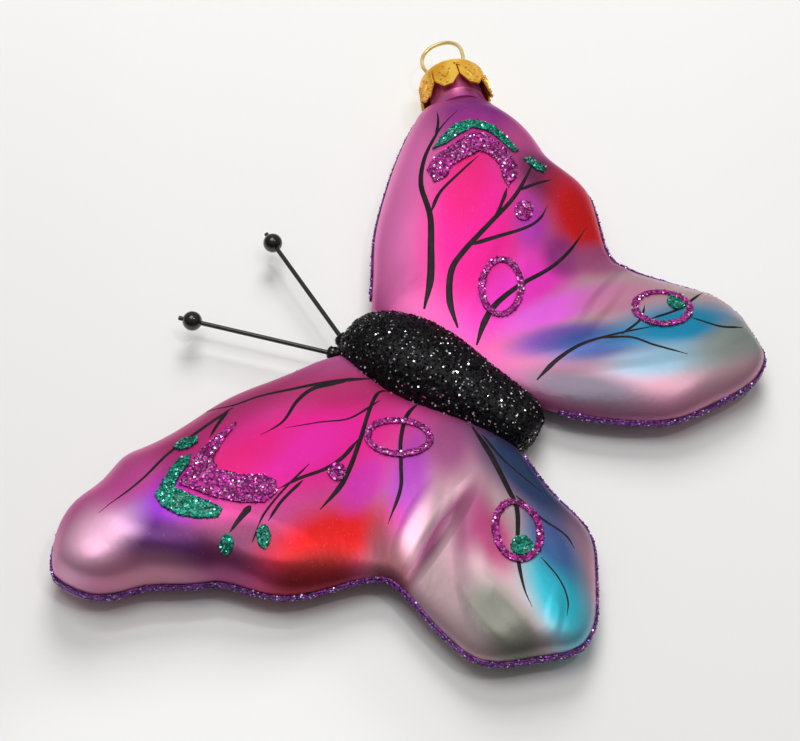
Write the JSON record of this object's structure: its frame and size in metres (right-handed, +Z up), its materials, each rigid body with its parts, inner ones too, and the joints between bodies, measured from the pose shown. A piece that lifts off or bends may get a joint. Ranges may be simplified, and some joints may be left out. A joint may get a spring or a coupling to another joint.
{
  "type": "butterfly ornament",
  "caption": "Butterfly of thin blown glass with puffed wings, a glittered body, two wire antennae and a petalled metal cap with a wire loop to hang it by",
  "frame": {"origin": "Bottom centre of the whole ornament's box, as it lies on its back on a table.", "axes": "+X runs across the span, towards the wing with the cap. +Y runs along the body, from tail to head. +Z is up, out of the painted face."},
  "size_m": [0.1332, 0.09, 0.0136],
  "materials": {
    "lacquered_glass": "satin lacquer over silvered glass",
    "black_glitter": "black glitter in glue",
    "purple_glitter": "purple glitter in glue",
    "magenta_glitter": "magenta glitter in glue",
    "teal_glitter": "teal glitter in glue",
    "black_wire": "black lacquered wire",
    "black_bead": "glossy black bead",
    "cap_brass": "bright gold coloured sheet",
    "hanger_brass": "bright gold coloured wire"
  },
  "bodies": {
    "glass": {"glass_shell": "lacquered_glass", "body_glitter_coat": "black_glitter", "rim_glitter_left": "purple_glitter", "rim_glitter_right_front": "purple_glitter", "rim_glitter_right_rear": "purple_glitter", "magenta_crescent_left": "magenta_glitter", "magenta_crescent_right": "magenta_glitter", "teal_crescent_left": "teal_glitter", "teal_crescent_right": "teal_glitter", "teal_leaf_left": "teal_glitter", "teal_leaf_right": "teal_glitter", "teal_dot_left_outer": "teal_glitter", "teal_dot_left_inner": "teal_glitter", "magenta_dot_left": "magenta_glitter", "magenta_dot_right": "magenta_glitter", "forewing_ring_left": "magenta_glitter", "forewing_ring_right": "magenta_glitter", "hindwing_ring_left": "magenta_glitter", "hindwing_ring_right": "magenta_glitter", "hindwing_dot_left": "teal_glitter", "hindwing_dot_right": "teal_glitter", "antenna_wire_left": "black_wire", "antenna_wire_right": "black_wire", "antenna_bead_left": "black_bead", "antenna_bead_right": "black_bead"},
    "cap": {"crown_cap": "cap_brass"},
    "hanger": {"wire_hanger": "hanger_brass"}
  },
  "joints": [
    {"name": "cap_pull", "type": "slide", "parent": "glass", "child": "cap", "axis": [0.7431, 0.6691, 0], "range_m": [0, 0.02]},
    {"name": "hanger_slide", "type": "slide", "parent": "cap", "child": "hanger", "axis": [0.7431, 0.6691, 0], "range_m": [-0.0015, 0.0015]}
  ]
}
